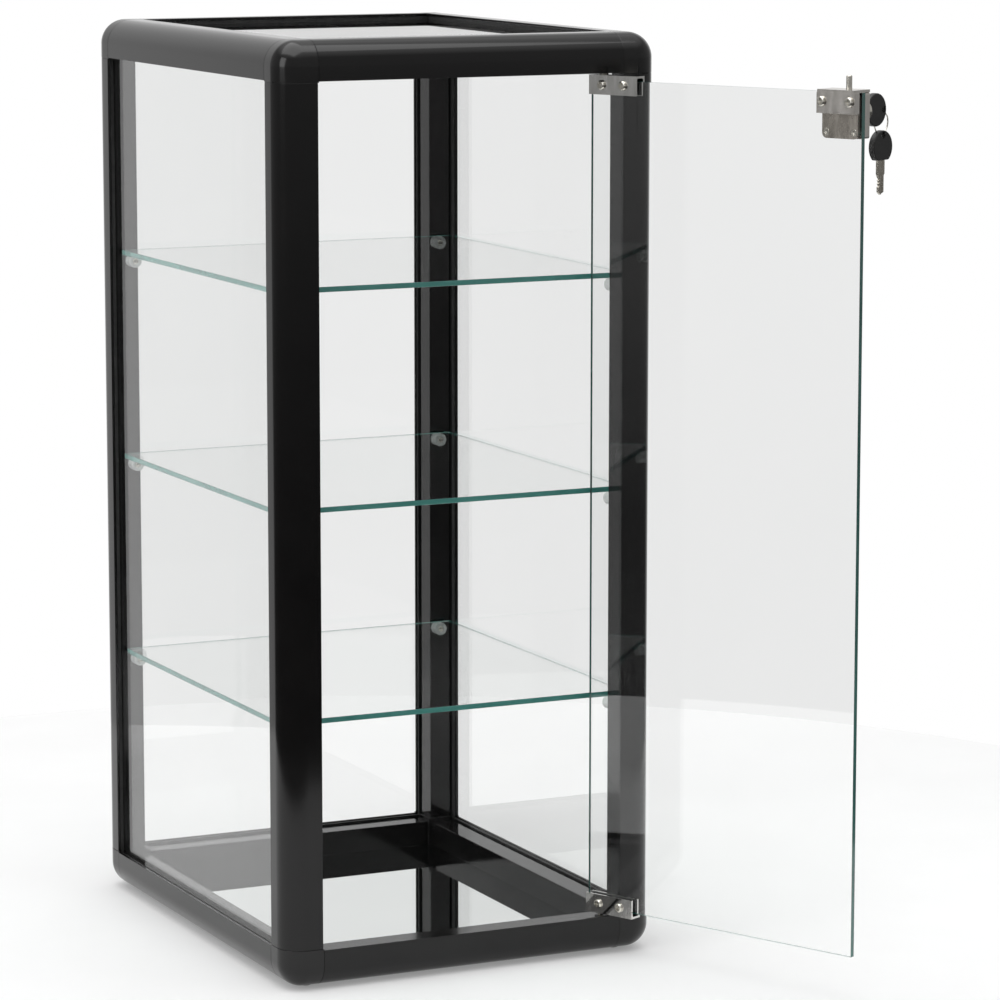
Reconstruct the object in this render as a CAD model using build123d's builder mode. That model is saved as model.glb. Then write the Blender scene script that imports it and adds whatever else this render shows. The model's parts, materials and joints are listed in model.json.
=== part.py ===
"""Glass display showcase for a shop counter: a black extrusion frame with glass walls, a mirror floor,
three glass shelves on clear pegs and a pivoted glass door that stands open, with its lock and keys.

Millimetres, +Z up. The origin is the middle of the front left pad's underside, on the counter. X runs
from left to right and Y from the door side to the back. Door pieces are placed by a plane that swings
with the door.
"""

from build123d import *
from math import cos, radians, sin
import os

os.makedirs("parts", exist_ok=True)

# Overall size of the frame
WIDTH, DEPTH, HEIGHT = 306.0, 382.0, 700.0
PAD_INSET, PAD_RADIUS, PAD_HEIGHT = 24.75, 5.0, 1.5
LEFT, RIGHT = -PAD_INSET, WIDTH - PAD_INSET
FRONT, BACK = -PAD_INSET, DEPTH - PAD_INSET
BOTTOM, TOP = PAD_HEIGHT, PAD_HEIGHT + HEIGHT
MIDDLE_X, MIDDLE_Y, MIDDLE_Z = (LEFT + RIGHT) / 2, (FRONT + BACK) / 2, (BOTTOM + TOP) / 2
FOOTPRINT = Plane(origin=(MIDDLE_X, MIDDLE_Y, 0))

# Extrusion section, measured from its two outer faces
ROUNDING = 19.0
LIP_REACH, LIP = 29.5, 2.2
GROOVE_END = 17.0
GROOVE_TOPS = {"left": 9.4, "right": 9.4, "back": 9.4, "top": 9.4, "front": 7.2, "bottom": 7.2}
BODY_REACH = 27.0
CHAMBER_START, CHAMBER_END = 10.8, 25.5
CHAMBER = CHAMBER_END - CHAMBER_START
CHAMBER_MIDDLE = (CHAMBER_START + CHAMBER_END) / 2

# Corner connectors
CORNER = 30.5
SPIGOT_LENGTH, SPIGOT_PLAY = 7.0, 0.1

# Fixed glass, shelves and pegs
GLASS = 4.0
PANEL_EDGE, PANEL_INSET, GASKET_REACH = 17.5, 5.1, 28.5
SHELF_TOPS = {"upper": 518.8, "middle": 355.9, "lower": 197.6}
SHELF_SIDE, SHELF_END = 11.5, 31.5
PEG_SIDE, PEG_RADIUS, PEG_LENGTH, PEG_FLAT = 21.5, 5.4, 10.0, 0.5

# Door, in its own axes: along the glass from the pivot, outward, and up
OPEN_ANGLE = 115.0
PIVOT_FROM_RIGHT, PIVOT_FROM_FRONT = 41.5, 11.0
DOOR_HEEL, DOOR_WIDTH = -10.0, 244.0
DOOR_FREE = DOOR_HEEL + DOOR_WIDTH
DOOR_LOW, DOOR_HIGH = BOTTOM + 35.0, TOP - 35.0
BRACKET_LENGTH, BRACKET_THICKNESS, BRACKET_HEIGHT, BRACKET_WALL = 44.0, 10.5, 14.5, 1.6
BRACKET_OVERHANG = 4.0
PIN_RADIUS, PIN_PLAY, PIN_LENGTH = 2.0, 0.05, 9.0
BUSH_RADIUS, BUSH_LENGTH, BUSH_COLLAR_RADIUS, BUSH_COLLAR = 3.0, 5.5, 4.5, 1.0
BRACKET_SCREWS = (2.0, 22.0)
HOLE_PLAY = 0.1

# Lock, on the top free corner of the door
LOCK_WIDTH, LOCK_HEIGHT, LOCK_OUTER = 32.0, 33.0, 9.2
LOCK_MIDDLE = DOOR_FREE - 1.0 - LOCK_WIDTH / 2
LOCK_CAP = 2.0
BACK_PLATE, PLATE_WIDTH, PLATE_HEIGHT = 2.5, 31.0, 33.0
CLAMP_THICKNESS, CLAMP_WIDTH, CLAMP_HEIGHT = 6.0, 33.0, 15.0
PLUG_Z = TOP - 49.7
CYLINDER_RADIUS, CYLINDER_END = 7.75, 25.0
POCKET_RADIUS, POCKET_FLOOR = 6.0, 3.6
PLUG_RADIUS, PLUG_START, PLUG_END = 5.0, 9.9, 24.7
CAM_START = 8.9
BOLT_RADIUS, BOLT_OUT, BOLT_LENGTH = 2.2, 6.3, 18.1
BOLT_TIP = TOP - 23.4

# Keys
KEY_SLOT_END, KEY_SHOULDER = 11.0, 28.5
BOW_LENGTH, BOW_WIDTH, BOW_THICKNESS = 21.5, 24.0, 5.0
BOW_HOLE_RADIUS, BOW_HOLE_INSET, HANG = 2.5, 3.5, 0.8
BLADE_WIDTH, BLADE_THICKNESS, BLADE_LENGTH = 8.5, 2.0, 25.0
BLADE_GROOVE, BLADE_GROOVE_DEPTH = 1.2, 0.4
RING_RADIUS, RING_WIRE = 8.5, 0.6

PIVOT = (RIGHT - PIVOT_FROM_RIGHT, FRONT + PIVOT_FROM_FRONT)
SWING = radians(180 + OPEN_ANGLE)
DOOR = Plane(origin=(*PIVOT, 0), x_dir=(cos(SWING), sin(SWING), 0), z_dir=(0, 0, 1))


def door_face(outward, along=0, up=0):
    """Upright plane parallel to the door glass: x along the door, y up, extruding towards the inside."""
    origin = DOOR.from_local_coords((along, outward, up))
    return Plane(origin=origin, x_dir=DOOR.x_dir, z_dir=-DOOR.y_dir)


def door_end(along, outward=0, up=0):
    """Upright plane across the door: x outward, y up, extruding towards the free edge."""
    origin = DOOR.from_local_coords((along, outward, up))
    return Plane(origin=origin, x_dir=DOOR.y_dir, z_dir=DOOR.x_dir)


def save(builder, name):
    """Label a finished piece and write it."""
    builder.part.label = name
    export_step(builder.part, f"parts/{name}.step")


# ---- Frame members: four posts and eight beams of one section ----


def frame_member(middle, inward_a, inward_b, length, top_a, top_b, name, bush_hole=None):
    """A straight member between two corners, with a groove behind each lip; middle is on its outer corner."""
    section = Plane(origin=middle, x_dir=inward_a, z_dir=Vector(*inward_a).cross(Vector(*inward_b)))
    with BuildPart() as member:
        with BuildSketch(section):
            with BuildLine():
                CenterArc((ROUNDING, ROUNDING), ROUNDING, 180, 90)
                Polyline(
                    (ROUNDING, 0),
                    (LIP_REACH, 0),
                    (LIP_REACH, LIP),
                    (GROOVE_END, LIP),
                    (GROOVE_END, top_b),
                    (BODY_REACH, top_b),
                    (BODY_REACH, BODY_REACH),
                    (top_a, BODY_REACH),
                    (top_a, GROOVE_END),
                    (LIP, GROOVE_END),
                    (LIP, LIP_REACH),
                    (0, LIP_REACH),
                    (0, ROUNDING),
                )
            make_face()
            with Locations((CHAMBER_MIDDLE, CHAMBER_MIDDLE)):
                Rectangle(CHAMBER, CHAMBER, mode=Mode.SUBTRACT)
        extrude(amount=length / 2 - CORNER, both=True)
        if bush_hole:
            with Locations(bush_hole):
                Cylinder(BUSH_RADIUS + HOLE_PLAY, 2 * BUSH_LENGTH, mode=Mode.SUBTRACT)
    save(member, name)


SIDES_X = {"left": (LEFT, 1), "right": (RIGHT, -1)}
SIDES_Y = {"front": (FRONT, 1), "back": (BACK, -1)}
SIDES_Z = {"bottom": (BOTTOM, 1), "top": (TOP, -1)}

for side_y, (y, in_y) in SIDES_Y.items():
    for side_x, (x, in_x) in SIDES_X.items():
        tops = GROOVE_TOPS[side_x], GROOVE_TOPS[side_y]
        name = f"post_{side_y}_{side_x}"
        frame_member((x, y, MIDDLE_Z), (in_x, 0, 0), (0, in_y, 0), HEIGHT, *tops, name)

for side_z, (z, in_z) in SIDES_Z.items():
    for side_y, (y, in_y) in SIDES_Y.items():
        hole = (*PIVOT, z + in_z * BODY_REACH) if side_y == "front" else None
        tops = GROOVE_TOPS[side_y], GROOVE_TOPS[side_z]
        name = f"beam_{side_z}_{side_y}"
        frame_member((MIDDLE_X, y, z), (0, in_y, 0), (0, 0, in_z), WIDTH, *tops, name, hole)
    for side_x, (x, in_x) in SIDES_X.items():
        tops = GROOVE_TOPS[side_x], GROOVE_TOPS[side_z]
        name = f"beam_{side_z}_{side_x}"
        frame_member((x, MIDDLE_Y, z), (in_x, 0, 0), (0, 0, in_z), DEPTH, *tops, name)

# ---- Corner connectors: a rounded cube with a spigot for each member and slots for the glass ----

SPIGOT = CHAMBER - 2 * SPIGOT_PLAY
SLOT_DEPTH = CORNER - GROOVE_END
FIRST = (Align.MIN, Align.MIN, Align.MIN)
ON_AXIS = (Align.MIN, Align.CENTER, Align.CENTER)

for side_z, (z, in_z) in SIDES_Z.items():
    for side_y, (y, in_y) in SIDES_Y.items():
        for side_x, (x, in_x) in SIDES_X.items():
            # Where the three inward directions are left-handed, X and Y change places on the plane
            swap = in_x * in_y * in_z < 0
            x_dir = (0, in_y, 0) if swap else (in_x, 0, 0)
            along_x, along_y = (side_y, side_x) if swap else (side_x, side_y)
            slots = (
                ((GROOVE_END, GROOVE_END, LIP), (SLOT_DEPTH, SLOT_DEPTH, GROOVE_TOPS[side_z] - LIP)),
                ((GROOVE_END, LIP, GROOVE_END), (SLOT_DEPTH, GROOVE_TOPS[along_y] - LIP, SLOT_DEPTH)),
                ((LIP, GROOVE_END, GROOVE_END), (GROOVE_TOPS[along_x] - LIP, SLOT_DEPTH, SLOT_DEPTH)),
            )
            place = Plane(origin=(x, y, z), x_dir=x_dir, z_dir=(0, 0, in_z))
            with BuildPart(place) as corner:
                Box(CORNER, CORNER, CORNER, align=FIRST)
                fillet(corner.edges().sort_by_distance((x, y, z))[:3], ROUNDING)
                for turn in ((0, 0, 0), (0, 0, 90), (0, -90, 0)):
                    reach = Plane.XY.rotated(turn).x_dir
                    centre = Vector(CHAMBER_MIDDLE, CHAMBER_MIDDLE, CHAMBER_MIDDLE)
                    start = centre + reach * (CORNER - CHAMBER_MIDDLE)
                    with Locations(Location(tuple(start), turn)):
                        Box(SPIGOT_LENGTH, SPIGOT, SPIGOT, align=ON_AXIS)
                for near, size in slots:
                    with Locations(near):
                        Box(*size, align=FIRST, mode=Mode.SUBTRACT)
            save(corner, f"corner_{side_z}_{side_y}_{side_x}")

# ---- Fixed glass with its gaskets, and the mirror floor ----

PANELS = {
    "left": ((LEFT + PANEL_INSET, MIDDLE_Y, MIDDLE_Z), (0, 1, 0), (1, 0, 0), DEPTH, HEIGHT),
    "right": ((RIGHT - PANEL_INSET, MIDDLE_Y, MIDDLE_Z), (0, 1, 0), (-1, 0, 0), DEPTH, HEIGHT),
    "back": ((MIDDLE_X, BACK - PANEL_INSET, MIDDLE_Z), (1, 0, 0), (0, -1, 0), WIDTH, HEIGHT),
    "top": ((MIDDLE_X, MIDDLE_Y, TOP - PANEL_INSET), (1, 0, 0), (0, 0, -1), WIDTH, DEPTH),
}

for name, (middle, across, inward, wide, tall) in PANELS.items():
    outer_face = Plane(origin=middle, x_dir=across, z_dir=inward)
    with BuildPart() as panel:
        with BuildSketch(outer_face):
            Rectangle(wide - 2 * PANEL_EDGE, tall - 2 * PANEL_EDGE)
        extrude(amount=GLASS)
    save(panel, f"glass_{name}")

    with BuildPart() as gasket:
        with BuildSketch(outer_face):
            Rectangle(wide - 2 * PANEL_EDGE, tall - 2 * PANEL_EDGE)
            Rectangle(wide - 2 * GASKET_REACH, tall - 2 * GASKET_REACH, mode=Mode.SUBTRACT)
        extrude(amount=LIP - PANEL_INSET)
    save(gasket, f"gasket_{name}")

with BuildPart() as mirror:
    with BuildSketch(FOOTPRINT.offset(BOTTOM + LIP)):
        Rectangle(WIDTH - 2 * PANEL_EDGE, DEPTH - 2 * PANEL_EDGE)
    extrude(amount=GROOVE_TOPS["bottom"] - LIP)
save(mirror, "base_mirror")

# ---- Shelves on flat-topped clear pegs, and the counter pads ----

PEGS_X = (LEFT + PEG_SIDE, RIGHT - PEG_SIDE)
PEGS_Y = ((FRONT + BODY_REACH, -1), (BACK - BODY_REACH, 1))

for name, level in SHELF_TOPS.items():
    shelf_under = BOTTOM + level - GLASS
    with BuildPart() as shelf:
        with BuildSketch(FOOTPRINT.offset(shelf_under)):
            Rectangle(WIDTH - 2 * SHELF_SIDE, DEPTH - 2 * SHELF_END)
        extrude(amount=GLASS)
        fillet(shelf.edges().filter_by(Axis.Z), 2)
    save(shelf, f"shelf_{name}")

    with BuildPart() as pegs:
        for x in PEGS_X:
            for y, toward in PEGS_Y:
                seat = Plane(origin=(x, y, shelf_under), x_dir=(1, 0, 0), z_dir=(0, toward, 0))
                drop = PEG_FLAT - PEG_RADIUS
                with BuildSketch(seat):
                    with Locations((0, drop * seat.y_dir.Z)):
                        Circle(PEG_RADIUS)
                extrude(amount=-PEG_LENGTH)
        with Locations((MIDDLE_X, MIDDLE_Y, shelf_under)):
            Box(WIDTH, DEPTH, PEG_RADIUS, align=(Align.CENTER, Align.CENTER, Align.MIN), mode=Mode.SUBTRACT)
    save(pegs, f"pegs_{name}")

with BuildPart() as pads:
    with BuildSketch(FOOTPRINT):
        with GridLocations(WIDTH - 2 * PAD_INSET, DEPTH - 2 * PAD_INSET, 2, 2):
            Circle(PAD_RADIUS)
    extrude(amount=PAD_HEIGHT)
save(pads, "counter_pads")

# ---- Door glass, with the two holes for the lock's screws ----

PLATE_SCREWS = [(LOCK_MIDDLE + side * 12, TOP - 63.5) for side in (-1, 1)]
PLATE_SCREW_RADIUS = 1.5
GLASS_OUT = GLASS / 2

with BuildPart() as door_glass:
    with BuildSketch(door_face(GLASS_OUT, DOOR_HEEL + DOOR_WIDTH / 2, (DOOR_LOW + DOOR_HIGH) / 2)):
        Rectangle(DOOR_WIDTH, DOOR_HIGH - DOOR_LOW)
    extrude(amount=GLASS)
    with BuildSketch(door_face(GLASS_OUT)):
        with Locations(*PLATE_SCREWS):
            Circle(PLATE_SCREW_RADIUS + 1)
    extrude(amount=GLASS, mode=Mode.SUBTRACT)
save(door_glass, "door_glass")

# ---- Hinges: clamp channels with pads and screws, pivot pins, and bushes in the front beams ----

BRACKET_OUT = BRACKET_THICKNESS / 2
BRACKET_MIDDLE = DOOR_HEEL + BRACKET_LENGTH / 2
SCREW_HEAD_RADIUS, SCREW_HEAD, SCREW_SHANK_RADIUS, CROWN = 3.5, 2.0, 1.7, 1.2
RECESS, RECESS_DEPTH, SLOT = 4.2, 1.0, 0.8
PAD_OUT = BRACKET_OUT - BRACKET_WALL
PIN_COLLAR_RADIUS, PIN_COLLAR = 3.5, 1.0
# Each hinge: name, end of the glass, direction away from the glass, and the beam's flange
HINGES = (
    ("top", DOOR_HIGH, 1, TOP - BODY_REACH),
    ("bottom", DOOR_LOW, -1, BOTTOM + BODY_REACH),
)

for name, glass_end, away, flange in HINGES:
    web = glass_end + away * BRACKET_OVERHANG
    rim = web - away * BRACKET_HEIGHT
    with BuildPart() as bracket:
        with BuildSketch(door_end(DOOR_HEEL)):
            with BuildLine():
                Polyline(
                    (-BRACKET_OUT, rim),
                    (-BRACKET_OUT, web),
                    (BRACKET_OUT, web),
                    (BRACKET_OUT, rim),
                    (PAD_OUT, rim),
                    (PAD_OUT, web - away * BRACKET_WALL),
                    (-PAD_OUT, web - away * BRACKET_WALL),
                    (-PAD_OUT, rim),
                    close=True,
                )
            make_face()
        extrude(amount=BRACKET_LENGTH)
        bend = DOOR.from_local_coords((BRACKET_MIDDLE, 0, web))
        fillet(bracket.edges().filter_by(Axis(bend, DOOR.x_dir)).sort_by_distance(bend)[:2], 1.2)
        with BuildSketch(door_face(-PAD_OUT)):
            with Locations(*[(along, (web + rim) / 2) for along in BRACKET_SCREWS]):
                Circle(SCREW_SHANK_RADIUS + HOLE_PLAY)
        extrude(amount=BRACKET_WALL, mode=Mode.SUBTRACT)
    save(bracket, f"hinge_bracket_{name}")

with BuildPart() as pads:
    for name, glass_end, away, flange in HINGES:
        rim = glass_end + away * (BRACKET_OVERHANG - BRACKET_HEIGHT)
        for outward in (PAD_OUT, -GLASS_OUT):
            with BuildSketch(door_face(outward, BRACKET_MIDDLE, (glass_end + rim) / 2)):
                Rectangle(BRACKET_LENGTH - 2, abs(glass_end - rim) - 1)
            extrude(amount=PAD_OUT - GLASS_OUT)
save(pads, "hinge_pads")


BRACKET_MIDDLES = [
    glass_end + away * (BRACKET_OVERHANG - BRACKET_HEIGHT / 2) for name, glass_end, away, flange in HINGES
]
HINGE_SCREWS = [(along, up) for along in BRACKET_SCREWS for up in BRACKET_MIDDLES]

with BuildPart() as hinge_screws:
    with BuildSketch(door_face(-PAD_OUT)):
        with Locations(*HINGE_SCREWS):
            Circle(SCREW_SHANK_RADIUS)
    extrude(amount=BRACKET_WALL)
    with BuildSketch(door_face(-BRACKET_OUT)):
        with Locations(*HINGE_SCREWS):
            Circle(SCREW_HEAD_RADIUS)
    extrude(amount=SCREW_HEAD)
    crowns = hinge_screws.edges().filter_by(GeomType.CIRCLE).sort_by(Axis(DOOR.origin, -DOOR.y_dir))
    fillet(crowns[-len(HINGE_SCREWS) :], CROWN)
    with BuildSketch(door_face(-BRACKET_OUT - SCREW_HEAD)):
        with Locations(*HINGE_SCREWS):
            Rectangle(RECESS, SLOT)
            Rectangle(SLOT, RECESS)
    extrude(amount=-RECESS_DEPTH, mode=Mode.SUBTRACT)
save(hinge_screws, "hinge_screws")

with BuildPart() as hinge_pins:
    for name, glass_end, away, flange in HINGES:
        web = glass_end + away * BRACKET_OVERHANG
        with BuildSketch(Plane(origin=(*PIVOT, web), z_dir=(0, 0, away))):
            Circle(PIN_COLLAR_RADIUS)
        extrude(amount=PIN_COLLAR)
        with BuildSketch(Plane(origin=(*PIVOT, web), z_dir=(0, 0, away))):
            Circle(PIN_RADIUS)
        extrude(amount=PIN_LENGTH)
save(hinge_pins, "hinge_pins")

with BuildPart() as bushes:
    for name, glass_end, away, flange in HINGES:
        seat = Plane(origin=(*PIVOT, flange), z_dir=(0, 0, away))
        with BuildSketch(seat):
            Circle(BUSH_RADIUS)
        extrude(amount=BUSH_LENGTH)
        with BuildSketch(seat):
            Circle(BUSH_COLLAR_RADIUS)
        extrude(amount=-BUSH_COLLAR)
        with BuildSketch(seat.offset(-BUSH_COLLAR)):
            Circle(PIN_RADIUS + PIN_PLAY)
        extrude(amount=BUSH_COLLAR + BUSH_LENGTH, mode=Mode.SUBTRACT)
save(bushes, "pivot_bushes")

# ---- Lock: body, back plate and clamp, gripping the top edge of the door ----

LOCK_Z = DOOR_HIGH - LOCK_HEIGHT / 2
SCREW_BITE = 3.0
PLATE_FACE = -GLASS_OUT - BACK_PLATE
CLAMP_FACE = PLATE_FACE - CLAMP_THICKNESS

with BuildPart() as lock_body:
    with BuildSketch(door_face(LOCK_OUTER, LOCK_MIDDLE, LOCK_Z)):
        RectangleRounded(LOCK_WIDTH, LOCK_HEIGHT, 1.5)
    extrude(amount=LOCK_OUTER - GLASS_OUT)
    with BuildSketch(DOOR.offset(DOOR_HIGH)):
        with Locations((LOCK_MIDDLE, (LOCK_OUTER + CLAMP_FACE) / 2)):
            Rectangle(LOCK_WIDTH, LOCK_OUTER - CLAMP_FACE)
    extrude(amount=LOCK_CAP)
    with BuildSketch(DOOR.offset(PLUG_Z)):
        with Locations((LOCK_MIDDLE, BOLT_OUT)):
            Circle(BOLT_RADIUS + PIN_PLAY)
    extrude(amount=DOOR_HIGH + LOCK_CAP - PLUG_Z, mode=Mode.SUBTRACT)
    with BuildSketch(door_face(LOCK_OUTER, LOCK_MIDDLE, PLUG_Z)):
        Circle(POCKET_RADIUS)
    extrude(amount=LOCK_OUTER - POCKET_FLOOR, mode=Mode.SUBTRACT)
    with BuildSketch(door_face(GLASS_OUT)):
        with Locations(*PLATE_SCREWS):
            Circle(PLATE_SCREW_RADIUS + HOLE_PLAY)
    extrude(amount=-SCREW_BITE, mode=Mode.SUBTRACT)
save(lock_body, "lock_body")

PLATE_HEAD_RADIUS, PLATE_HEAD = 2.75, 1.2
PLATE_RECESS, PLATE_RECESS_DEPTH = 3.2, 0.6
CLAMP_Z = DOOR_HIGH - CLAMP_HEIGHT / 2
CLAMP_SCREWS = [(LOCK_MIDDLE + side * 12, DOOR_HIGH - 6.5) for side in (-1, 1)]
CLAMP_HEAD_RADIUS = 3.65

with BuildPart() as back_plate:
    with BuildSketch(door_face(-GLASS_OUT, LOCK_MIDDLE, DOOR_HIGH - PLATE_HEIGHT / 2)) as outline:
        Rectangle(PLATE_WIDTH, PLATE_HEIGHT)
        fillet(outline.vertices().group_by(Axis.Z)[0], 4)
    extrude(amount=BACK_PLATE)
    with BuildSketch(door_face(-GLASS_OUT)):
        with Locations(*PLATE_SCREWS):
            Circle(PLATE_SCREW_RADIUS + HOLE_PLAY)
    extrude(amount=BACK_PLATE, mode=Mode.SUBTRACT)
    with BuildSketch(door_face(PLATE_FACE)):
        with Locations(*PLATE_SCREWS):
            Circle(PLATE_HEAD_RADIUS + HOLE_PLAY)
    extrude(amount=-PLATE_HEAD, mode=Mode.SUBTRACT)
save(back_plate, "lock_back_plate")

with BuildPart() as clamp:
    with BuildSketch(door_face(PLATE_FACE, LOCK_MIDDLE, CLAMP_Z)):
        Rectangle(CLAMP_WIDTH, CLAMP_HEIGHT)
    extrude(amount=CLAMP_THICKNESS)
    with BuildSketch(door_face(PLATE_FACE)):
        with Locations(*CLAMP_SCREWS):
            Circle(SCREW_SHANK_RADIUS + HOLE_PLAY)
    extrude(amount=CLAMP_THICKNESS, mode=Mode.SUBTRACT)
save(clamp, "lock_clamp")

with BuildPart() as clamp_screws:
    with BuildSketch(door_face(PLATE_FACE)):
        with Locations(*CLAMP_SCREWS):
            Circle(SCREW_SHANK_RADIUS)
    extrude(amount=CLAMP_THICKNESS)
    with BuildSketch(door_face(CLAMP_FACE)):
        with Locations(*CLAMP_SCREWS):
            Circle(CLAMP_HEAD_RADIUS)
    extrude(amount=SCREW_HEAD)
    crowns = clamp_screws.edges().filter_by(GeomType.CIRCLE).sort_by(Axis(DOOR.origin, -DOOR.y_dir))
    fillet(crowns[-len(CLAMP_SCREWS) :], CROWN)
    with BuildSketch(door_face(CLAMP_FACE - SCREW_HEAD)):
        with Locations(*CLAMP_SCREWS):
            Rectangle(RECESS, SLOT)
            Rectangle(SLOT, RECESS)
    extrude(amount=-RECESS_DEPTH, mode=Mode.SUBTRACT)
save(clamp_screws, "lock_clamp_screws")

with BuildPart() as plate_screws:
    with BuildSketch(door_face(GLASS_OUT + SCREW_BITE)):
        with Locations(*PLATE_SCREWS):
            Circle(PLATE_SCREW_RADIUS)
    extrude(amount=GLASS_OUT + SCREW_BITE - PLATE_FACE)
    with BuildSketch(door_face(PLATE_FACE)):
        with Locations(*PLATE_SCREWS):
            Circle(PLATE_HEAD_RADIUS)
    extrude(amount=-PLATE_HEAD)
    with BuildSketch(door_face(PLATE_FACE)):
        with Locations(*PLATE_SCREWS):
            Rectangle(PLATE_RECESS, SLOT)
            Rectangle(SLOT, PLATE_RECESS)
    extrude(amount=-PLATE_RECESS_DEPTH, mode=Mode.SUBTRACT)
save(plate_screws, "lock_plate_screws")

# ---- Lock cylinder, plug with its keyway and cam, and the bolt pin ----

CYLINDER_STEP = 0.8

with BuildPart() as cylinder:
    with BuildSketch(door_face(CYLINDER_END, LOCK_MIDDLE, PLUG_Z)):
        Circle(CYLINDER_RADIUS)
    extrude(amount=CYLINDER_END - LOCK_OUTER)
    rims = cylinder.edges().filter_by(GeomType.CIRCLE).sort_by(Axis(DOOR.origin, DOOR.y_dir))
    chamfer(rims[-1], 0.8)
    with BuildSketch(door_face(CYLINDER_END, LOCK_MIDDLE, PLUG_Z)):
        Circle(PLUG_RADIUS + PIN_PLAY)
    extrude(amount=CYLINDER_END - LOCK_OUTER, mode=Mode.SUBTRACT)
    with BuildSketch(door_face(LOCK_OUTER, LOCK_MIDDLE, PLUG_Z)):
        Circle(POCKET_RADIUS)
    extrude(amount=-CYLINDER_STEP, mode=Mode.SUBTRACT)
save(cylinder, "lock_cylinder")

KEYWAY_PLAY = 0.2

with BuildPart() as plug:
    with BuildSketch(door_face(PLUG_END, LOCK_MIDDLE, PLUG_Z)):
        Circle(PLUG_RADIUS)
    extrude(amount=PLUG_END - PLUG_START)
    with BuildSketch(door_face(PLUG_END, LOCK_MIDDLE, PLUG_Z)):
        Rectangle(BLADE_THICKNESS + 2 * KEYWAY_PLAY, BLADE_WIDTH + 2 * KEYWAY_PLAY)
    extrude(amount=PLUG_END - KEY_SLOT_END, mode=Mode.SUBTRACT)
save(plug, "lock_plug")

with BuildPart() as cam:
    with BuildSketch(door_face(PLUG_START, LOCK_MIDDLE, PLUG_Z)):
        Circle(PLUG_RADIUS)
        with Locations((0, -PLUG_RADIUS)):
            Rectangle(2 * PLUG_RADIUS, 2 * PLUG_RADIUS - 2, mode=Mode.SUBTRACT)
    extrude(amount=PLUG_START - CAM_START)
save(cam, "lock_cam")

with BuildPart() as bolt:
    with BuildSketch(DOOR.offset(BOLT_TIP - BOLT_LENGTH)):
        with Locations((LOCK_MIDDLE, BOLT_OUT)):
            Circle(BOLT_RADIUS)
    extrude(amount=BOLT_LENGTH)
    chamfer(bolt.edges().filter_by(GeomType.CIRCLE).sort_by(Axis.Z)[-1], 0.6)
save(bolt, "lock_bolt")

# ---- Keys: one in the plug, and a spare hanging below it from a split ring ----

HOLE_OUT = KEY_SHOULDER + BOW_LENGTH - BOW_HOLE_INSET
RING_TOP = PLUG_Z - HANG
RING_LOW = RING_TOP - 2 * RING_RADIUS
SPARE_HOLE = RING_LOW - HANG
SPARE_SHOULDER = SPARE_HOLE + BOW_HOLE_INSET - BOW_LENGTH


def key_bow(key, name):
    """Moulded round grip on a key's plane, cut flat at the shoulder where the blade leaves it."""
    with BuildPart() as bow:
        with BuildSketch(key.offset(-BOW_THICKNESS / 2)) as outline:
            with Locations((BOW_LENGTH - BOW_WIDTH / 2, 0)):
                Circle(BOW_WIDTH / 2)
            Rectangle(BOW_WIDTH, BOW_WIDTH, align=(Align.MAX, Align.CENTER), mode=Mode.SUBTRACT)
            fillet(outline.vertices(), 2)
        extrude(amount=BOW_THICKNESS)
        fillet(bow.faces().filter_by(Axis(key.origin, key.z_dir)).edges(), 1)
        with BuildSketch(key.offset(-BOW_THICKNESS / 2)):
            with Locations((BOW_LENGTH - BOW_HOLE_INSET, 0)):
                Circle(BOW_HOLE_RADIUS)
        extrude(amount=BOW_THICKNESS, mode=Mode.SUBTRACT)
    save(bow, name)


def key_blade(key, length, name):
    """Flat blade on a key's plane, stepped down to a toothed stretch with a point, and grooved."""
    half, step, depth = BLADE_WIDTH / 2, 10.0, 1.2
    teeth = [(-step - 1 - depth, half - depth)]
    while teeth[-1][0] - 2 * depth > 3.5 - length:
        teeth += [(teeth[-1][0] - depth, half - 2 * depth), (teeth[-1][0] - 2 * depth, half - depth)]
    with BuildPart() as blade:
        with BuildSketch(key.offset(-BLADE_THICKNESS / 2)):
            with BuildLine():
                Polyline(
                    (0, -half),
                    (-step, -half),
                    (-step - 1, 1 - half),
                    (2 - length, 1 - half),
                    (-length, 0.5),
                    (2 - length, half - depth),
                    *reversed(teeth),
                    (-step, half),
                    (0, half),
                    close=True,
                )
            make_face()
        extrude(amount=BLADE_THICKNESS)
        for side in (-1, 1):
            with BuildSketch(key.offset(side * BLADE_THICKNESS / 2)):
                with Locations((-length / 2, -0.8)):
                    Rectangle(length, BLADE_GROOVE)
            extrude(amount=-side * BLADE_GROOVE_DEPTH, mode=Mode.SUBTRACT)
    save(blade, name)


OUTWARD, UPWARD = DOOR.y_dir, Vector(0, 0, 1)
KEYS = (
    ("key", KEY_SHOULDER, PLUG_Z, OUTWARD, KEY_SHOULDER - KEY_SLOT_END),
    ("spare_key", HOLE_OUT, SPARE_SHOULDER, UPWARD, BLADE_LENGTH),
)
for name, shoulder_out, shoulder_up, towards_bow, blade_length in KEYS:
    shoulder = DOOR.from_local_coords((LOCK_MIDDLE, shoulder_out, shoulder_up))
    key_plane = Plane(origin=shoulder, x_dir=towards_bow, z_dir=DOOR.x_dir)
    key_bow(key_plane, f"{name}_bow")
    key_blade(key_plane, blade_length, f"{name}_blade")

with BuildPart() as ring:
    with BuildSketch(door_end(LOCK_MIDDLE)):
        with Locations((HOLE_OUT, RING_TOP)):
            Circle(RING_WIRE)
    hoop = DOOR.from_local_coords((LOCK_MIDDLE, HOLE_OUT, RING_TOP - RING_RADIUS))
    revolve(axis=Axis(hoop, DOOR.y_dir))
save(ring, "key_ring")
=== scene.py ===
import json
import math

import bmesh
import bpy
import numpy as np
from mathutils import Matrix, Vector


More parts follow.
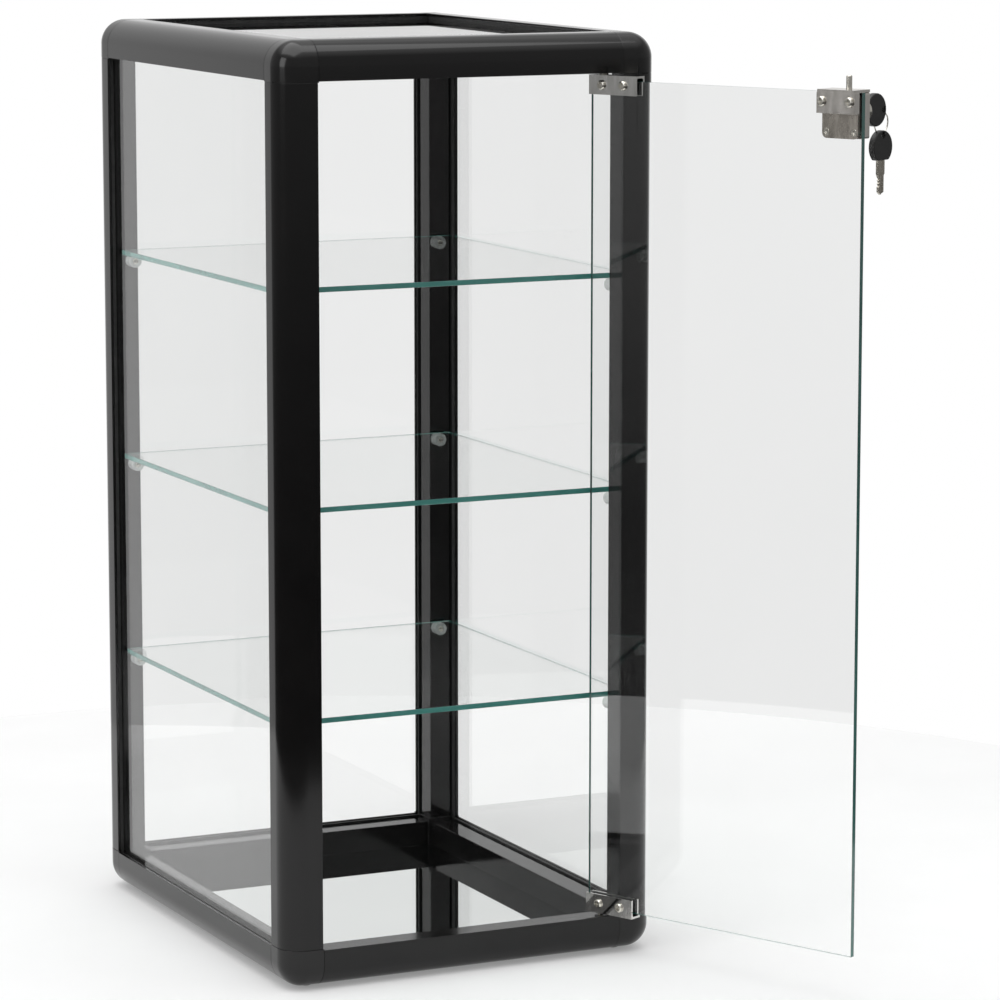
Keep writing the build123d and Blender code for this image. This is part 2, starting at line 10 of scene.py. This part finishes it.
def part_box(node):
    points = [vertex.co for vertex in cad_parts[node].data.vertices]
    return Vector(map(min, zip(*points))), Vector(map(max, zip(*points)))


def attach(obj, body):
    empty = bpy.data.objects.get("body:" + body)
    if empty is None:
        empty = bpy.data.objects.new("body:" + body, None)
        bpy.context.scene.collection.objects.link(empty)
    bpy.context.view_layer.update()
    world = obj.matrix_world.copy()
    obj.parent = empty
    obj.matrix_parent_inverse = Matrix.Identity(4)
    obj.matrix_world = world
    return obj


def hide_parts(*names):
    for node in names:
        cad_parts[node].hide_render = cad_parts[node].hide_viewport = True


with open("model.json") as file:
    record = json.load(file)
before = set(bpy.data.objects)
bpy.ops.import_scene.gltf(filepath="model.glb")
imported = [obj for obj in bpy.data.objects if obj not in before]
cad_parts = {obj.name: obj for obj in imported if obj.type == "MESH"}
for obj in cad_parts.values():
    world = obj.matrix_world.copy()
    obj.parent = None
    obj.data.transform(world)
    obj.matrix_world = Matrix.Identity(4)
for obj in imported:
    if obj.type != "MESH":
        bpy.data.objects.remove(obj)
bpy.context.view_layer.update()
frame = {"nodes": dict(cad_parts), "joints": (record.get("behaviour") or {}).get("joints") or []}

# Metres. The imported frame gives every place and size; the names below only add what it doesn't hold.
NODES = frame["nodes"]
SHELVES = ("upper", "middle", "lower")
GLASS_SIDES = ("left", "right", "back", "top")


# ---- Small node and mesh helpers ----


class Nodes:
    """Adds nodes to one tree and joins their sockets by name."""

    def __init__(self, tree):
        self.tree = tree
        tree.nodes.clear()

    def add(self, kind, **settings):
        node = self.tree.nodes.new(f"ShaderNode{kind}")
        for name, value in settings.items():
            setattr(node, name, value)
        return node

    def join(self, source, target):
        self.tree.links.new(source, target)


def new_material(name):
    material = bpy.data.materials.new(name)
    material.use_nodes = True
    return material, Nodes(material.node_tree)


def noise(nodes, scale, stretch=(1, 1, 1), detail=4, roughness=0.6):
    """A noise field in the object's own coordinates, so it moves with the part."""
    place = nodes.add("TexCoord")
    mapping = nodes.add("Mapping")
    mapping.inputs["Scale"].default_value = stretch
    field = nodes.add("TexNoise")
    field.inputs["Scale"].default_value = scale
    field.inputs["Detail"].default_value = detail
    field.inputs["Roughness"].default_value = roughness
    nodes.join(place.outputs["Object"], mapping.inputs["Vector"])
    nodes.join(mapping.outputs["Vector"], field.inputs["Vector"])
    return field.outputs["Fac"]


def ramp(nodes, factor, low, high, start=0.3, end=0.7):
    """A colour that goes from low to high with the factor."""
    node = nodes.add("ValToRGB")
    for stop, place, colour in zip(node.color_ramp.elements, (start, end), (low, high)):
        stop.position, stop.color = place, (*colour, 1)
    nodes.join(factor, node.inputs["Fac"])
    return node.outputs["Color"]


def spread(nodes, factor, low, high, start=0.3, end=0.7):
    """A number that goes from low to high with the factor."""
    node = nodes.add("MapRange")
    for socket, value in zip(("From Min", "From Max", "To Min", "To Max"), (start, end, low, high)):
        node.inputs[socket].default_value = value
    nodes.join(factor, node.inputs["Value"])
    return node.outputs["Result"]


def finish_material(nodes, shader):
    output = nodes.add("OutputMaterial")
    nodes.join(shader, output.inputs["Surface"])


def set_sockets(shader, sockets):
    for name, value in sockets.items():
        shader.inputs[name].default_value = value


def textured(name, colours, roughness, scale, stretch=(1, 1, 1), relief=0, relief_scale=None, **sockets):
    """Principled material whose colour and roughness drift with a noise and whose relief follows a finer one."""
    material, nodes = new_material(name)
    shader = nodes.add("BsdfPrincipled")
    field = noise(nodes, scale, stretch)
    nodes.join(ramp(nodes, field, *colours), shader.inputs["Base Color"])
    nodes.join(spread(nodes, field, *roughness), shader.inputs["Roughness"])
    if relief:
        bump = nodes.add("Bump")
        bump.inputs["Distance"].default_value = relief
        bump.inputs["Strength"].default_value = 1.0
        grain = noise(nodes, relief_scale or 8 * scale, stretch, detail=2)
        nodes.join(grain, bump.inputs["Height"])
        nodes.join(bump.outputs["Normal"], shader.inputs["Normal"])
    set_sockets(shader, {key.replace("_", " "): value for key, value in sockets.items()})
    finish_material(nodes, shader.outputs["BSDF"])
    return material


def clear(name, colours, roughness, shade, scale=9.0, **sockets):
    """Clear glass or plastic that lets shadow rays through with a light tint."""
    material, nodes = new_material(name)
    shader = nodes.add("BsdfPrincipled")
    field = noise(nodes, scale)
    nodes.join(ramp(nodes, field, *colours), shader.inputs["Base Color"])
    nodes.join(spread(nodes, field, *roughness), shader.inputs["Roughness"])
    set_sockets(shader, {"Transmission Weight": 1.0, "IOR": 1.5})
    set_sockets(shader, {key.replace("_", " "): value for key, value in sockets.items()})
    through = nodes.add("BsdfTransparent")
    through.inputs["Color"].default_value = (*shade, 1)
    path, mix = nodes.add("LightPath"), nodes.add("MixShader")
    nodes.join(path.outputs["Is Shadow Ray"], mix.inputs["Fac"])
    nodes.join(shader.outputs["BSDF"], mix.inputs[1])
    nodes.join(through.outputs["BSDF"], mix.inputs[2])
    finish_material(nodes, mix.outputs["Shader"])
    return material


# ---- Materials ----


def grey(level):
    return level, level, level


FRAME_BLACK = textured(
    "frame_gloss_black", ((0.0026, 0.0024, 0.0025), (0.0046, 0.0042, 0.0042)), (0.07, 0.13), 14,
    relief=0.000004, relief_scale=420, Specular_IOR_Level=0.38,
)
CORNER_BLACK = textured(
    "corner_gloss_black", ((0.0030, 0.0028, 0.0029), (0.0060, 0.0056, 0.0056)), (0.12, 0.2), 60,
    relief=0.000008, relief_scale=900, Specular_IOR_Level=0.42,
)
GASKET = textured(
    "gasket_rubber", (grey(0.012), grey(0.03)), (0.5, 0.7), 300, relief=0.00004, Specular_IOR_Level=0.4,
)
PAD_RUBBER = textured(
    "pad_rubber", (grey(0.02), grey(0.045)), (0.7, 0.85), 400, relief=0.00006, Specular_IOR_Level=0.3,
)
PANEL_GLASS = clear(
    "panel_glass", ((0.972, 0.978, 0.975), (0.982, 0.986, 0.984)), (0.0, 0.012), (0.94, 0.95, 0.946),
)
PANEL_EDGE = textured(
    "panel_edge_glass", ((0.03, 0.12, 0.105), (0.07, 0.22, 0.19)), (0.08, 0.2), 90,
    stretch=(1, 1, 0.15), Transmission_Weight=0.25, Coat_Weight=0.6, Coat_Roughness=0.05,
)
SHELF_GLASS = clear(
    "shelf_glass", ((0.965, 0.982, 0.975), (0.978, 0.988, 0.984)), (0.0, 0.01), (0.92, 0.955, 0.94),
)
SHELF_EDGE = textured(
    "shelf_edge_glass", ((0.06, 0.27, 0.235), (0.12, 0.4, 0.35)), (0.06, 0.18), 70,
    stretch=(0.2, 0.2, 1), Transmission_Weight=0.3, Coat_Weight=0.7, Coat_Roughness=0.04,
)
MIRROR = textured(
    "mirror_silver", ((0.86, 0.885, 0.875), (0.9, 0.92, 0.91)), (0.0, 0.03), 7, Metallic=1.0,
)
CHROME = textured(
    "hinge_chrome", ((0.56, 0.55, 0.53), (0.72, 0.71, 0.69)), (0.03, 0.1), 180, stretch=(1, 1, 0.25),
    relief=0.00001, relief_scale=900, Metallic=1.0,
)
NICKEL = textured(
    "lock_nickel", ((0.62, 0.59, 0.55), (0.76, 0.73, 0.69)), (0.16, 0.28), 160, stretch=(1, 1, 0.3),
    relief=0.00001, relief_scale=1200, Metallic=1.0,
)
# The lock's nickel made darker for the back plate: painted shade, so the plate reads darker than the clamp in
# front of it
PLATE_NICKEL_PAINTED_SHADE = textured(
    "plate_nickel_painted_shade", ((0.36, 0.33, 0.29), (0.48, 0.445, 0.4)), (0.2, 0.34), 160, stretch=(1, 1, 0.3),
    relief=0.00001, relief_scale=1200, Metallic=1.0,
)
SCREW_STEEL = textured(
    "screw_steel", ((0.6, 0.57, 0.5), (0.82, 0.8, 0.74)), (0.1, 0.22), 500, relief=0.00001, Metallic=1.0,
)
NYLON = textured(
    "pivot_nylon", (grey(0.015), grey(0.03)), (0.35, 0.5), 220, relief=0.00002, Specular_IOR_Level=0.5,
)
BRASS = textured(
    "plug_brass", ((0.5, 0.42, 0.27), (0.66, 0.58, 0.42)), (0.14, 0.3), 500, relief=0.00001, Metallic=1.0,
)
KEY_BLACK = textured(
    "key_grip_black", (grey(0.011), grey(0.024)), (0.34, 0.5), 260, relief=0.00006, relief_scale=1500,
)
KEY_STEEL = textured(
    "key_steel", ((0.36, 0.33, 0.28), (0.56, 0.53, 0.47)), (0.18, 0.34), 420, relief=0.00002, Metallic=1.0,
)
PEG_CLEAR = clear(
    "peg_clear_plastic", ((0.93, 0.95, 0.945), (0.97, 0.98, 0.975)), (0.05, 0.14), grey(0.9), 180,
    Transmission_Weight=0.5,
)


# ---- Finish of the CAD nodes ----


def dress(node, material, round_edge=0.0003, segments=2, edge_material=None, flat_axis=None):
    """Gives a CAD node its material and softens its edges; a sheet's rim faces get their own material."""
    piece = NODES[node]
    mesh = piece.data
    mesh.materials.clear()
    mesh.materials.append(material)
    faces = len(mesh.polygons)
    slots = np.zeros(faces, dtype=np.int32)
    if edge_material:
        mesh.materials.append(edge_material)
        normals = np.empty(3 * faces, dtype=np.float32)
        mesh.polygons.foreach_get("normal", normals)
        slots[np.abs(normals.reshape(-1, 3) @ np.array(flat_axis)) < 0.5] = 1
    mesh.polygons.foreach_set("material_index", slots)
    if "custom_normal" in mesh.attributes:
        mesh.attributes.remove(mesh.attributes["custom_normal"])
    sheet = edge_material is not None
    mesh.polygons.foreach_set("use_smooth", np.full(faces, not sheet))
    weld = piece.modifiers.new("weld", "WELD")
    weld.merge_threshold = 0.000002
    planar = piece.modifiers.new("whole faces", "DECIMATE")
    planar.decimate_type = "DISSOLVE"
    planar.angle_limit = math.radians(0.3)
    planar.delimit = {"MATERIAL"}
    bevel = piece.modifiers.new("rounded edges", "BEVEL")
    bevel.width, bevel.segments, bevel.limit_method = round_edge, segments, "ANGLE"
    bevel.angle_limit = math.radians(34)
    if not sheet:
        flat = piece.modifiers.new("flat faces", "WEIGHTED_NORMAL")
        flat.weight = 90


def thin_axis(node):
    """The direction that a flat sheet square to the axes is thin in."""
    lo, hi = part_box(node)
    size = hi - lo
    thin = min(range(3), key=lambda i: size[i])
    return [1.0 if i == thin else 0.0 for i in range(3)]


for name in NODES:
    if name.startswith(("post_", "beam_")):
        dress(name, FRAME_BLACK, 0.0005, 3)
    elif name.startswith("corner_"):
        dress(name, CORNER_BLACK, 0.0006, 3)
    elif name.startswith("gasket_"):
        dress(name, GASKET, 0.0002)

for side in GLASS_SIDES:
    dress(f"glass_{side}", PANEL_GLASS, 0.0003, 1, PANEL_EDGE, thin_axis(f"glass_{side}"))
for level in SHELVES:
    dress(f"shelf_{level}", SHELF_GLASS, 0.0004, 2, SHELF_EDGE, (0, 0, 1))
dress("base_mirror", MIRROR, 0.0003, 1, PANEL_EDGE, (0, 0, 1))
dress("counter_pads", PAD_RUBBER, 0.0003)
dress("pivot_bushes", NYLON, 0.0002)

# The door's own directions: outward is square to the glass, and along runs in its plane
plug_joint = next(joint for joint in frame["joints"] if joint["name"] == "lock_turn")
OUTWARD = Vector(plug_joint["axis"]).normalized()
ALONG = OUTWARD.cross(Vector((0, 0, 1))).normalized()

dress("door_glass", PANEL_GLASS, 0.0004, 2, PANEL_EDGE, tuple(OUTWARD))
for name in ("hinge_bracket_top", "hinge_bracket_bottom"):
    dress(name, CHROME, 0.0005, 3)
dress("hinge_pads", NYLON, 0.0002)
for name in ("lock_body", "lock_clamp"):
    dress(name, NICKEL, 0.0005, 3)
# The back plate gets the darker nickel with painted shade
dress("lock_back_plate", PLATE_NICKEL_PAINTED_SHADE, 0.0005, 3)
for name in ("hinge_screws", "hinge_pins", "lock_clamp_screws", "lock_plate_screws"):
    dress(name, SCREW_STEEL, 0.0002)
for name in ("lock_cylinder", "lock_bolt"):
    dress(name, SCREW_STEEL, 0.0002)
dress("lock_plug", BRASS, 0.0002)
dress("lock_cam", SCREW_STEEL, 0.0002)
for name in ("key_bow", "spare_key_bow"):
    dress(name, KEY_BLACK, 0.0003)
for name in ("key_blade", "spare_key_blade"):
    dress(name, KEY_STEEL, 0.0002)


# ---- New pieces ----


def add_piece(name, mesh, material, body):
    mesh.materials.append(material)
    mesh.polygons.foreach_set("use_smooth", np.ones(len(mesh.polygons), dtype=bool))
    piece = bpy.data.objects.new(name, mesh)
    bpy.context.scene.collection.objects.link(piece)
    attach(piece, body)
    return piece


def lathe(work, profile, place, sides=48):
    """Adds a closed turned shape to a bmesh: profile is (along, radius) from axis to axis."""
    rings = []
    for along, radius in profile:
        if radius == 0:
            rings.append([work.verts.new(place @ Vector((0, 0, along)))])
            continue
        ring = []
        for k in range(sides):
            turn = 2 * math.pi * k / sides
            corner = Vector((radius * math.cos(turn), radius * math.sin(turn), along))
            ring.append(work.verts.new(place @ corner))
        rings.append(ring)
    for near, far in zip(rings, rings[1:]):
        for k in range(sides):
            corners = [near[k % len(near)], near[(k + 1) % len(near)]]
            corners += [far[(k + 1) % len(far)], far[k % len(far)]]
            work.faces.new(list(dict.fromkeys(corners)))


def arc(centre, radius, start, end, steps=6):
    """Points on an arc in the profile's (along, radius) plane, by angle in degrees."""
    return [
        (centre[0] + radius * math.cos(math.radians(a)), centre[1] + radius * math.sin(math.radians(a)))
        for a in np.linspace(start, end, steps)
    ]


def close_mesh(work, name):
    bmesh.ops.recalc_face_normals(work, faces=work.faces)
    mesh = bpy.data.meshes.new(name)
    work.to_mesh(mesh)
    work.free()
    return mesh


PEG_RADIUS = 0.0054
PEG_PROFILE = (
    [(0.0, 0.0), (0.0, 0.0047), (0.0006, 0.0052), (0.0020, 0.0052), (0.0026, 0.0045), (0.0034, 0.0045)]
    + arc((0.0088, 0.0043), 0.0010, 90, 0)
    + arc((0.0092, 0.0031), 0.0006, 60, -60, 4)
    + [(0.0089, 0.0024), (0.0089, 0.0)]
)
SCREW_PROFILE = [(0.0, 0.0), (0.0, 0.0024)] + arc((0.0, 0.0012), 0.0012, 80, 20) + [(0.0013, 0.0)]


def shelf_pegs(level):
    """Clear stepped pegs with a pan screw in each, on the inner faces of the posts."""
    lo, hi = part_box(f"pegs_{level}")
    up = (lo.z + hi.z) / 2
    caps, screws = bmesh.new(), bmesh.new()
    for x in (lo.x + PEG_RADIUS, hi.x - PEG_RADIUS):
        for y, facing in ((lo.y, 1), (hi.y, -1)):
            turn = Matrix.Rotation(math.radians(-90 * facing), 4, "X")
            place = Matrix.Translation((x, y, up)) @ turn
            lathe(caps, PEG_PROFILE, place)
            lathe(screws, SCREW_PROFILE, place @ Matrix.Translation((0, 0, 0.0090)), 24)
    cap_mesh = close_mesh(caps, f"peg_caps_{level}")
    cap = add_piece(f"peg_caps_{level}", cap_mesh, PEG_CLEAR, "case")
    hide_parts(f"pegs_{level}")
    screw_mesh = close_mesh(screws, f"peg_screws_{level}")
    add_piece(f"peg_screws_{level}", screw_mesh, SCREW_STEEL, "case")


for level in SHELVES:
    shelf_pegs(level)


def split_ring():
    """Two turns of round wire side by side, as a split key ring is wound."""
    lo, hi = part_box("key_ring")
    centre = (lo + hi) / 2
    wire, turns, steps, sides = 0.00036, 2, 144, 12
    radius = (hi.z - lo.z) / 2 - 0.0006
    work = bmesh.new()
    rings = []
    for k in range(steps + 1):
        part = k / steps
        angle = 2 * math.pi * turns * part + 0.6
        out = OUTWARD * math.cos(angle) + Vector((0, 0, 1)) * math.sin(angle)
        middle = centre + out * radius + ALONG * wire * (2.1 * part - 1.05)
        ring = []
        for s in range(sides):
            a = 2 * math.pi * s / sides
            ring.append(work.verts.new(middle + wire * (out * math.cos(a) + ALONG * math.sin(a))))
        rings.append(ring)
    for near, far in zip(rings, rings[1:]):
        for s in range(sides):
            work.faces.new((near[s], near[(s + 1) % sides], far[(s + 1) % sides], far[s]))
    work.faces.new(rings[0])
    work.faces.new(rings[-1])
    ring = add_piece("split_ring", close_mesh(work, "split_ring"), SCREW_STEEL, "key_ring")
    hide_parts("key_ring")


split_ring()


# ---- Floor, light and camera ----

ROOM_LOW, ROOM_HIGH, BACKDROP, CEILING, THROUGH_GLASS = 0.08, 0.4, 0.85, 1.1, 0.9
BACKDROP_TURN = math.radians(20)
FLOOR_RADIUS = 0.85
# name: (place, aim, size, watts)
SOFTBOXES = {
    "top_softbox": ((-0.2, -0.1, 2.4), (0, 0, 0.3), (2.2, 2.2), 26),
    "left_softbox": ((-2.6, -0.6, 1.4), (0, 0, 0.4), (1.2, 1.8), 17),
}
LENS, SENSOR, LENS_SHIFT, CLIP_END = 156.3, 36.0, 0.0113, 50
# The camera's place beside the middle of the case, its height, and how far it looks down and turns
CAMERA_LEFT, CAMERA_FRONT, CAMERA_HEIGHT, LOOK_DOWN, LOOK_RIGHT = 1.3474, 3.0637, 0.8633, 9.012, 25.32


def case_middle():
    """The middle of the case's footprint."""
    corner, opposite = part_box("corner_bottom_front_left")[0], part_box("corner_bottom_back_right")[1]
    return (corner.x + opposite.x) / 2, (corner.y + opposite.y) / 2


def floor():
    """A plain pale floor with a little glow of its own, so shadows stay soft and light."""
    work = bmesh.new()
    bmesh.ops.create_circle(work, cap_ends=True, segments=96, radius=FLOOR_RADIUS)
    mesh = close_mesh(work, "floor")
    mesh.materials.append(textured(
        "floor_white", (grey(0.64), grey(0.68)), (0.6, 0.75), 3, relief=0.00005,
        Emission_Color=(1, 1, 1, 1), Emission_Strength=0.24, Specular_IOR_Level=0.1,
    ))
    piece = bpy.data.objects.new("floor", mesh)
    piece.location = (*case_middle(), 0)
    bpy.context.scene.collection.objects.link(piece)


def background(nodes, strength):
    """A white background shader whose strength is a number or a socket."""
    shader = nodes.add("Background")
    shader.inputs["Color"].default_value = (1, 1, 1, 1)
    if isinstance(strength, float):
        shader.inputs["Strength"].default_value = strength
    else:
        nodes.join(strength, shader.inputs["Strength"])
    return shader.outputs["Background"]


def studio_world():
    """A bright backdrop and ceiling in a dim room for reflections; straight or through glass it is white."""
    world = bpy.data.worlds.new("studio")
    world.use_nodes = True
    bpy.context.scene.world = world
    nodes = Nodes(world.node_tree)
    place, split = nodes.add("TexCoord"), nodes.add("SeparateXYZ")
    nodes.join(place.outputs["Generated"], split.inputs["Vector"])
    facing = nodes.add("VectorMath", operation="DOT_PRODUCT")
    nodes.join(place.outputs["Generated"], facing.inputs[0])
    facing.inputs[1].default_value = (math.sin(BACKDROP_TURN), math.cos(BACKDROP_TURN), 0)
    room = spread(nodes, split.outputs["Z"], ROOM_LOW, ROOM_HIGH, -0.16, -0.03)
    backdrop = spread(nodes, facing.outputs["Value"], 0.0, BACKDROP, 0.53, 0.78)
    ceiling = spread(nodes, split.outputs["Z"], 0.0, CEILING, 0.45, 0.8)
    level = room
    for other in (backdrop, ceiling):
        brighter = nodes.add("Math", operation="MAXIMUM")
        nodes.join(level, brighter.inputs[0])
        nodes.join(other, brighter.inputs[1])
        level = brighter.outputs["Value"]
    path = nodes.add("LightPath")
    unreflected = nodes.add("Math", operation="LESS_THAN")
    unreflected.inputs[1].default_value = 0.5
    nodes.join(path.outputs["Glossy Depth"], unreflected.inputs[0])
    seen_through = nodes.add("Math", operation="MULTIPLY")
    nodes.join(path.outputs["Is Transmission Ray"], seen_through.inputs[0])
    nodes.join(unreflected.outputs["Value"], seen_through.inputs[1])
    shader = background(nodes, level)
    for ray, strength in ((seen_through.outputs["Value"], THROUGH_GLASS), (path.outputs["Is Camera Ray"], 1.0)):
        mix = nodes.add("MixShader")
        nodes.join(ray, mix.inputs["Fac"])
        nodes.join(shader, mix.inputs[1])
        nodes.join(background(nodes, strength), mix.inputs[2])
        shader = mix.outputs["Shader"]
    output = nodes.add("OutputWorld")
    nodes.join(shader, output.inputs["Surface"])


def soft_light(name, location, target, size, power):
    light = bpy.data.lights.new(name, "AREA")
    light.shape, light.size, light.size_y, light.energy = "RECTANGLE", *size, power
    lamp = bpy.data.objects.new(name, light)
    lamp.location = location
    lamp.rotation_euler = (Vector(target) - Vector(location)).to_track_quat("-Z", "Y").to_euler()
    bpy.context.scene.collection.objects.link(lamp)


def camera():
    """Long lens, a little above the case and turned to its left side."""
    middle_x, middle_y = case_middle()
    data = bpy.data.cameras.new("camera")
    data.lens, data.sensor_width, data.shift_x, data.clip_end = LENS, SENSOR, LENS_SHIFT, CLIP_END
    eye = bpy.data.objects.new("camera", data)
    eye.location = (middle_x - CAMERA_LEFT, middle_y - CAMERA_FRONT, CAMERA_HEIGHT)
    eye.rotation_euler = (math.radians(90 - LOOK_DOWN), 0, math.radians(-LOOK_RIGHT))
    bpy.context.scene.collection.objects.link(eye)
    bpy.context.scene.camera = eye


floor()
studio_world()
for name, settings in SOFTBOXES.items():
    soft_light(name, *settings)
camera()
bpy.context.scene.view_settings.view_transform = "Standard"
